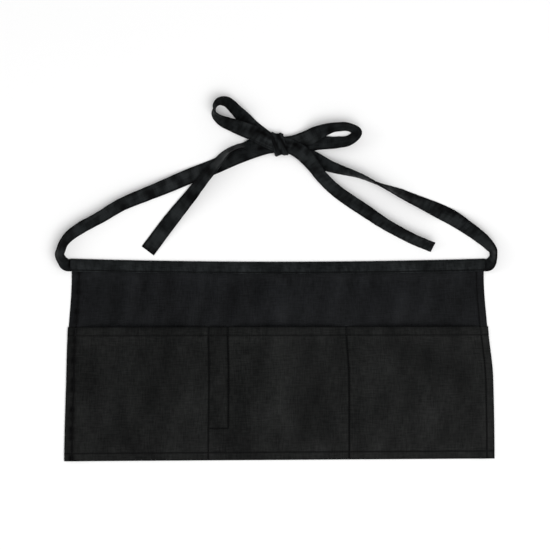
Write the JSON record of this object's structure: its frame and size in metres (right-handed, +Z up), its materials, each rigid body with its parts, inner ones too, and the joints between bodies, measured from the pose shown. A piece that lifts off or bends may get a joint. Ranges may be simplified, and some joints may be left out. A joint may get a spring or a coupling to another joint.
{
  "type": "waist apron",
  "caption": "Short black waist apron lying flat: a hemmed cloth panel with open pockets sewn across its lower part and tape ties knotted in a bow.",
  "frame": {"origin": "middle of the apron's footprint, on the surface that it lies on", "axes": "+X along the waistband towards the wearer's left as seen from the front, +Y from the hem up to the bow, +Z up off the surface, out of the pockets' side"},
  "size_m": [0.6218, 0.5132, 0.0234],
  "materials": {
    "twill_cloth": "matt black twill",
    "twill_tape": "matt black folded twill tape"
  },
  "bodies": {
    "root": {"body_panel": "twill_cloth", "pocket_panel": "twill_cloth", "waistband": "twill_tape", "left_tie": "twill_tape", "right_tie": "twill_tape", "bow_knot": "twill_tape"}
  },
  "joints": []
}
